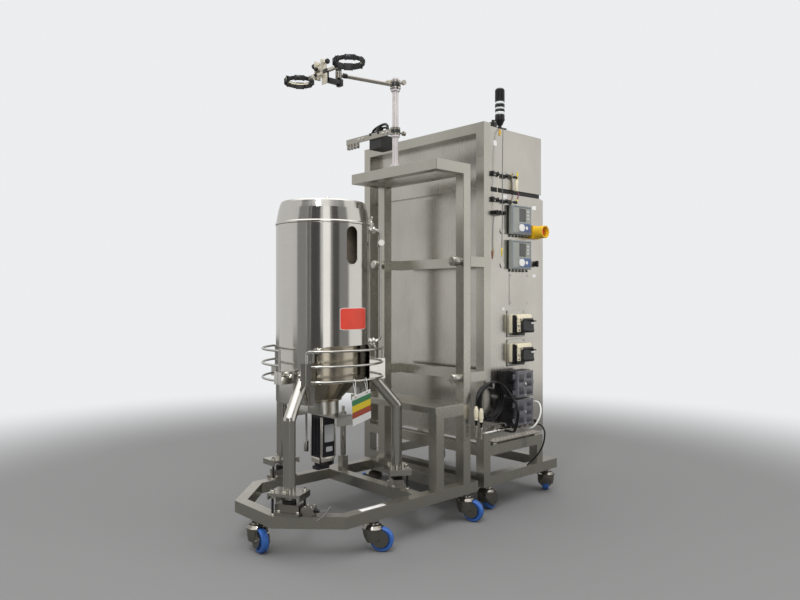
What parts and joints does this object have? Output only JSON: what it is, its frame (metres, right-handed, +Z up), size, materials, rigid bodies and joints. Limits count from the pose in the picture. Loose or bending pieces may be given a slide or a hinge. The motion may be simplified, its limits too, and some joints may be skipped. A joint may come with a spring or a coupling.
{
  "type": "pilot-scale single-use bioreactor",
  "caption": "Jacketed steel culture vessel on a wheeled cart with hose rails and a tall stand, docked to a wheeled control cabinet with pumps and instruments.",
  "frame": {"origin": "middle of the footprint's bounding box, on the floor", "axes": "+Z up, -Y towards the nose of the vessel cart, +X towards the instrument side of the cabinet"},
  "size_m": [1.0811, 1.7475, 2.122],
  "materials": {
    "cart_steel": "brushed, satin",
    "jacket_steel": "polished, fine vertical grain",
    "tank_steel": "polished",
    "plate_steel": "satin",
    "leg_steel": "polished",
    "load_cell_metal": "machined",
    "motor_black": "satin black",
    "rotor_metal": "machined",
    "rail_steel": "polished rod",
    "pole_metal": "satin",
    "arm_metal": "satin",
    "clamp_black": "moulded",
    "tray_black": "satin black",
    "cabinet_steel": "brushed, satin",
    "transmitter_grey": "satin",
    "shroud_yellow": "gloss",
    "button_red": "gloss",
    "switch_black": "matte",
    "pump_cream": "satin",
    "cover_black": "satin",
    "pump_black": "satin",
    "cover_clear": "clear plastic",
    "fitting_steel": "plated",
    "tower_black": "gloss",
    "sensor_black": "satin",
    "caster_steel": "polished",
    "tyre_blue": "cast polyurethane",
    "cable_black": "sheath",
    "connector_cream": "moulded",
    "tubing_white": "silicone",
    "lead_grey": "sheath"
  },
  "bodies": {
    "root": {"vessel_cart_frame": "cart_steel", "tall_stand": "cart_steel", "docking_frame": "cart_steel", "vessel_jacket": "jacket_steel", "inner_vessel": "tank_steel", "drive_housing": "plate_steel", "vessel_legs": "leg_steel", "load_cells": "load_cell_metal", "drive_motor": "motor_black", "hose_rails": "rail_steel", "holder_pole": "pole_metal", "cabinet_cart_frame": "cart_steel", "lower_cabinet": "cabinet_steel", "upper_cabinet": "cabinet_steel", "transmitters": "transmitter_grey", "estop_shroud": "shroud_yellow", "small_pumps": "pump_cream", "large_pumps": "pump_black", "gas_manifold": "fitting_steel", "tower_light": "tower_black", "sensor_arms": "sensor_black", "cable_coil": "cable_black", "coil_lead": "cable_black", "coil_connectors": "connector_cream", "pump_tubing": "tubing_white", "hanging_leads": "lead_grey"},
    "caster_1": {"caster_hood_1": "caster_steel"},
    "wheel_1": {"caster_wheel_1": "tyre_blue"},
    "caster_2": {"caster_hood_2": "caster_steel"},
    "wheel_2": {"caster_wheel_2": "tyre_blue"},
    "caster_3": {"caster_hood_3": "caster_steel"},
    "wheel_3": {"caster_wheel_3": "tyre_blue"},
    "caster_4": {"caster_hood_4": "caster_steel"},
    "wheel_4": {"caster_wheel_4": "tyre_blue"},
    "caster_5": {"caster_hood_5": "caster_steel"},
    "wheel_5": {"caster_wheel_5": "tyre_blue"},
    "caster_6": {"caster_hood_6": "caster_steel"},
    "wheel_6": {"caster_wheel_6": "tyre_blue"},
    "caster_7": {"caster_hood_7": "caster_steel"},
    "wheel_7": {"caster_wheel_7": "tyre_blue"},
    "caster_8": {"caster_hood_8": "caster_steel"},
    "wheel_8": {"caster_wheel_8": "tyre_blue"},
    "caster_9": {"caster_hood_9": "caster_steel"},
    "wheel_9": {"caster_wheel_9": "tyre_blue"},
    "drive_rotor": {"magnet_rotor": "rotor_metal"},
    "arm": {"holder_arm": "arm_metal"},
    "ring_bar": {"ring_holder": "clamp_black"},
    "jaw_1": {"ring_jaw_1": "clamp_black"},
    "jaw_2": {"ring_jaw_2": "clamp_black"},
    "tray": {"tray_rail": "arm_metal", "clamp_tray": "tray_black"},
    "door": {"rear_door": "cabinet_steel"},
    "stop_button": {"estop_button": "button_red"},
    "selector": {"selector_switch": "switch_black"},
    "small_cover_1": {"small_pump_cover_1": "cover_black"},
    "small_cover_2": {"small_pump_cover_2": "cover_black"},
    "rotor_1": {"pump_rotor_1": "rotor_metal"},
    "large_cover_1": {"large_pump_cover_1": "cover_clear"},
    "rotor_2": {"pump_rotor_2": "rotor_metal"},
    "large_cover_2": {"large_pump_cover_2": "cover_clear"}
  },
  "joints": [
    {"name": "caster_swivel_1", "type": "hinge", "parent": "root", "child": "caster_1", "pos_m": [0.0844, -0.8293, 0.11], "axis": [0, 0, 1], "continuous": true},
    {"name": "wheel_roll_1", "type": "hinge", "parent": "caster_1", "child": "wheel_1", "pos_m": [0.12203, -0.83459, 0.05], "axis": [0.1392, 0.9903, 0], "continuous": true},
    {"name": "caster_swivel_2", "type": "hinge", "parent": "root", "child": "caster_2", "pos_m": [0.4194, -0.4783, 0.11], "axis": [0, 0, 1], "continuous": true},
    {"name": "wheel_roll_2", "type": "hinge", "parent": "caster_2", "child": "wheel_2", "pos_m": [0.44851, -0.45387, 0.05], "axis": [-0.6428, 0.766, 0], "continuous": true},
    {"name": "caster_swivel_3", "type": "hinge", "parent": "root", "child": "caster_3", "pos_m": [0.4194, 0.1007, 0.11], "axis": [0, 0, 1], "continuous": true},
    {"name": "wheel_roll_3", "type": "hinge", "parent": "caster_3", "child": "wheel_3", "pos_m": [0.45511, 0.1137, 0.05], "axis": [-0.342, 0.9397, 0], "continuous": true},
    {"name": "caster_swivel_4", "type": "hinge", "parent": "root", "child": "caster_4", "pos_m": [-0.2506, -0.4783, 0.11], "axis": [0, 0, 1], "continuous": true},
    {"name": "wheel_roll_4", "type": "hinge", "parent": "caster_4", "child": "wheel_4", "pos_m": [-0.27971, -0.45387, 0.05], "axis": [-0.6428, -0.766, 0], "continuous": true},
    {"name": "caster_swivel_5", "type": "hinge", "parent": "root", "child": "caster_5", "pos_m": [-0.2506, 0.1007, 0.11], "axis": [0, 0, 1], "continuous": true},
    {"name": "wheel_roll_5", "type": "hinge", "parent": "caster_5", "child": "wheel_5", "pos_m": [-0.28631, 0.0877, 0.05], "axis": [0.342, -0.9397, 0], "continuous": true},
    {"name": "caster_swivel_6", "type": "hinge", "parent": "root", "child": "caster_6", "pos_m": [0.3894, 0.2857, 0.11], "axis": [0, 0, 1], "continuous": true},
    {"name": "wheel_roll_6", "type": "hinge", "parent": "caster_6", "child": "wheel_6", "pos_m": [0.3828, 0.32312, 0.05], "axis": [-0.9848, -0.1736, 0], "continuous": true},
    {"name": "caster_swivel_7", "type": "hinge", "parent": "root", "child": "caster_7", "pos_m": [0.3894, 0.7857, 0.11], "axis": [0, 0, 1], "continuous": true},
    {"name": "wheel_roll_7", "type": "hinge", "parent": "caster_7", "child": "wheel_7", "pos_m": [0.366, 0.81564, 0.05], "axis": [-0.788, -0.6157, 0], "continuous": true},
    {"name": "caster_swivel_8", "type": "hinge", "parent": "root", "child": "caster_8", "pos_m": [-0.4366, 0.2857, 0.11], "axis": [0, 0, 1], "continuous": true},
    {"name": "wheel_roll_8", "type": "hinge", "parent": "caster_8", "child": "wheel_8", "pos_m": [-0.46951, 0.3047, 0.05], "axis": [-0.5, -0.866, 0], "continuous": true},
    {"name": "caster_swivel_9", "type": "hinge", "parent": "root", "child": "caster_9", "pos_m": [-0.4366, 0.7857, 0.11], "axis": [0, 0, 1], "continuous": true},
    {"name": "wheel_roll_9", "type": "hinge", "parent": "caster_9", "child": "wheel_9", "pos_m": [-0.4496, 0.82141, 0.05], "axis": [-0.9397, -0.342, 0], "continuous": true},
    {"name": "drive_spin", "type": "hinge", "parent": "root", "child": "drive_rotor", "pos_m": [0.0844, -0.4893, 0.56], "axis": [0, 0, 1], "continuous": true},
    {"name": "arm_swing", "type": "hinge", "parent": "root", "child": "arm", "pos_m": [0.1414, -0.0993, 2.088], "axis": [0, 0, 1], "range_deg": [-60, 60]},
    {"name": "ring_bar_swing", "type": "hinge", "parent": "arm", "child": "ring_bar", "pos_m": [0.0784, -0.3973, 2.088], "axis": [0, 0, 1], "range_deg": [-45, 45]},
    {"name": "ring_open_1", "type": "hinge", "parent": "ring_bar", "child": "jaw_1", "pos_m": [0.2474, -0.3953, 2.09], "axis": [0, 0, 1], "range_deg": [0, 90]},
    {"name": "ring_open_2", "type": "hinge", "parent": "ring_bar", "child": "jaw_2", "pos_m": [-0.1326, -0.5433, 2.09], "axis": [0, 0, 1], "range_deg": [0, 90]},
    {"name": "tray_swing", "type": "hinge", "parent": "root", "child": "tray", "pos_m": [0.1414, -0.0993, 1.862], "axis": [0, 0, 1], "range_deg": [-45, 45]},
    {"name": "door_swing", "type": "hinge", "parent": "root", "child": "door", "pos_m": [-0.4836, 0.7167, 0.962], "axis": [0, 0, 1], "range_deg": [0, 120]},
    {"name": "stop_press", "type": "slide", "parent": "root", "child": "stop_button", "axis": [-1, 0, 0], "range_m": [0, 0.004], "stiffness_N_per_m": 900, "springref_m": -0.003},
    {"name": "selector_turn", "type": "hinge", "parent": "root", "child": "selector", "pos_m": [0.4304, 0.6357, 1.234], "axis": [1, 0, 0], "range_deg": [-45, 45]},
    {"name": "small_cover_lift_1", "type": "hinge", "parent": "root", "child": "small_cover_1", "pos_m": [0.4784, 0.5017, 0.945], "axis": [0, -1, 0], "range_deg": [0, 110]},
    {"name": "small_cover_lift_2", "type": "hinge", "parent": "root", "child": "small_cover_2", "pos_m": [0.4784, 0.5017, 0.798], "axis": [0, -1, 0], "range_deg": [0, 110]},
    {"name": "pump_turn_1", "type": "hinge", "parent": "root", "child": "rotor_1", "pos_m": [0.4704, 0.4347, 0.628], "axis": [1, 0, 0], "continuous": true},
    {"name": "large_cover_swing_1", "type": "hinge", "parent": "root", "child": "large_cover_1", "pos_m": [0.5004, 0.3627, 0.628], "axis": [0, 0, -1], "range_deg": [0, 90]},
    {"name": "pump_turn_2", "type": "hinge", "parent": "root", "child": "rotor_2", "pos_m": [0.4704, 0.4347, 0.488], "axis": [1, 0, 0], "continuous": true},
    {"name": "large_cover_swing_2", "type": "hinge", "parent": "root", "child": "large_cover_2", "pos_m": [0.5004, 0.3627, 0.488], "axis": [0, 0, -1], "range_deg": [0, 90]}
  ]
}
